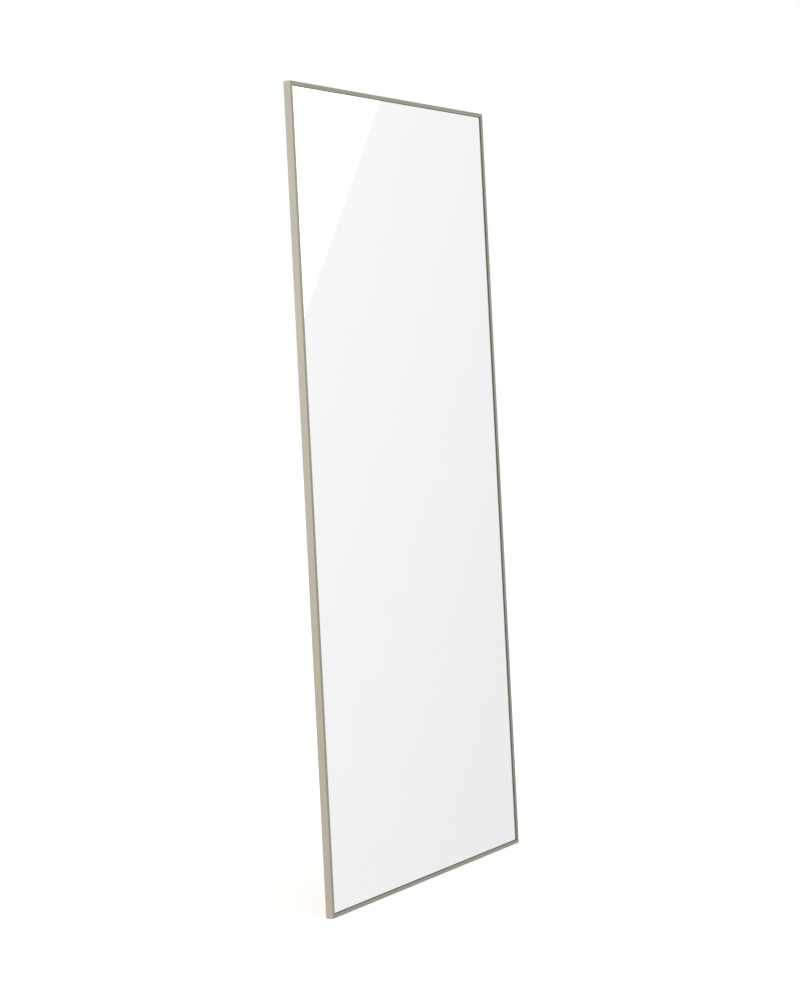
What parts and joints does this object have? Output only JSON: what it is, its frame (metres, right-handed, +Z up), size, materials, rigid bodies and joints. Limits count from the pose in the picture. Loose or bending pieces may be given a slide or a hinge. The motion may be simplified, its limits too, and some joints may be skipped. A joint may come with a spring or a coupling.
{
  "type": "wall mirror",
  "caption": "Tall rectangular wall mirror in a slim square-edged satin metal channel frame, with a fibreboard back, rubber wall bumpers and swinging D-ring hangers.",
  "frame": {"origin": "centre of the bounding box, halfway between the frame's front face and the wall plane", "axes": "+X to the right seen from the front, +Y from the glass back towards the wall, +Z up"},
  "size_m": [0.915, 0.0232, 1.83],
  "materials": {
    "frame_metal": "fine brushed, champagne nickel tone",
    "mirror": "polished, silvered on the back",
    "gasket": "matte",
    "film": "woven safety film",
    "foam_tape": "closed-cell foam",
    "fibreboard": "sanded fibreboard",
    "block_plastic": "matte",
    "zinc_steel": "bright zinc plate",
    "screw_steel": "zinc plate",
    "ring_steel": "nickel plate",
    "bumper_rubber": "matte"
  },
  "bodies": {
    "mirror": {"back_panel": "fibreboard", "bumper_bottom_left": "bumper_rubber", "bumper_bottom_right": "bumper_rubber", "bumper_screw_bottom_left": "screw_steel", "bumper_screw_bottom_right": "screw_steel", "bumper_screw_top_left": "screw_steel", "bumper_screw_top_right": "screw_steel", "bumper_top_left": "bumper_rubber", "bumper_top_right": "bumper_rubber", "corner_plate_bottom_left": "zinc_steel", "corner_plate_bottom_right": "zinc_steel", "corner_plate_top_left": "zinc_steel", "corner_plate_top_right": "zinc_steel", "corner_screws_bottom_left": "screw_steel", "corner_screws_bottom_right": "screw_steel", "corner_screws_top_left": "screw_steel", "corner_screws_top_right": "screw_steel", "flange_screws_bottom_rail": "screw_steel", "flange_screws_left_stile": "screw_steel", "flange_screws_right_stile": "screw_steel", "flange_screws_top_rail": "screw_steel", "frame_bottom_rail": "frame_metal", "frame_left_stile": "frame_metal", "frame_right_stile": "frame_metal", "frame_top_rail": "frame_metal", "gasket_bottom_rail": "gasket", "gasket_left_stile": "gasket", "gasket_right_stile": "gasket", "gasket_top_rail": "gasket", "hanger_screws_left": "screw_steel", "hanger_screws_right": "screw_steel", "hanger_strap_left": "zinc_steel", "hanger_strap_right": "zinc_steel", "mirror_glass": "mirror", "mounting_tape_1": "foam_tape", "mounting_tape_2": "foam_tape", "mounting_tape_3": "foam_tape", "mounting_tape_4": "foam_tape", "mounting_tape_5": "foam_tape", "safety_film": "film", "setting_block_left": "block_plastic", "setting_block_right": "block_plastic"},
    "left_ring": {"hanger_ring_left": "ring_steel"},
    "right_ring": {"hanger_ring_right": "ring_steel"}
  },
  "joints": [
    {"name": "left_ring_swing", "type": "hinge", "parent": "mirror", "child": "left_ring", "pos_m": [-0.3975, 0.00815, 0.565], "axis": [1, 0, 0], "range_deg": [0, 180]},
    {"name": "right_ring_swing", "type": "hinge", "parent": "mirror", "child": "right_ring", "pos_m": [0.3975, 0.00815, 0.565], "axis": [1, 0, 0], "range_deg": [0, 180]}
  ]
}
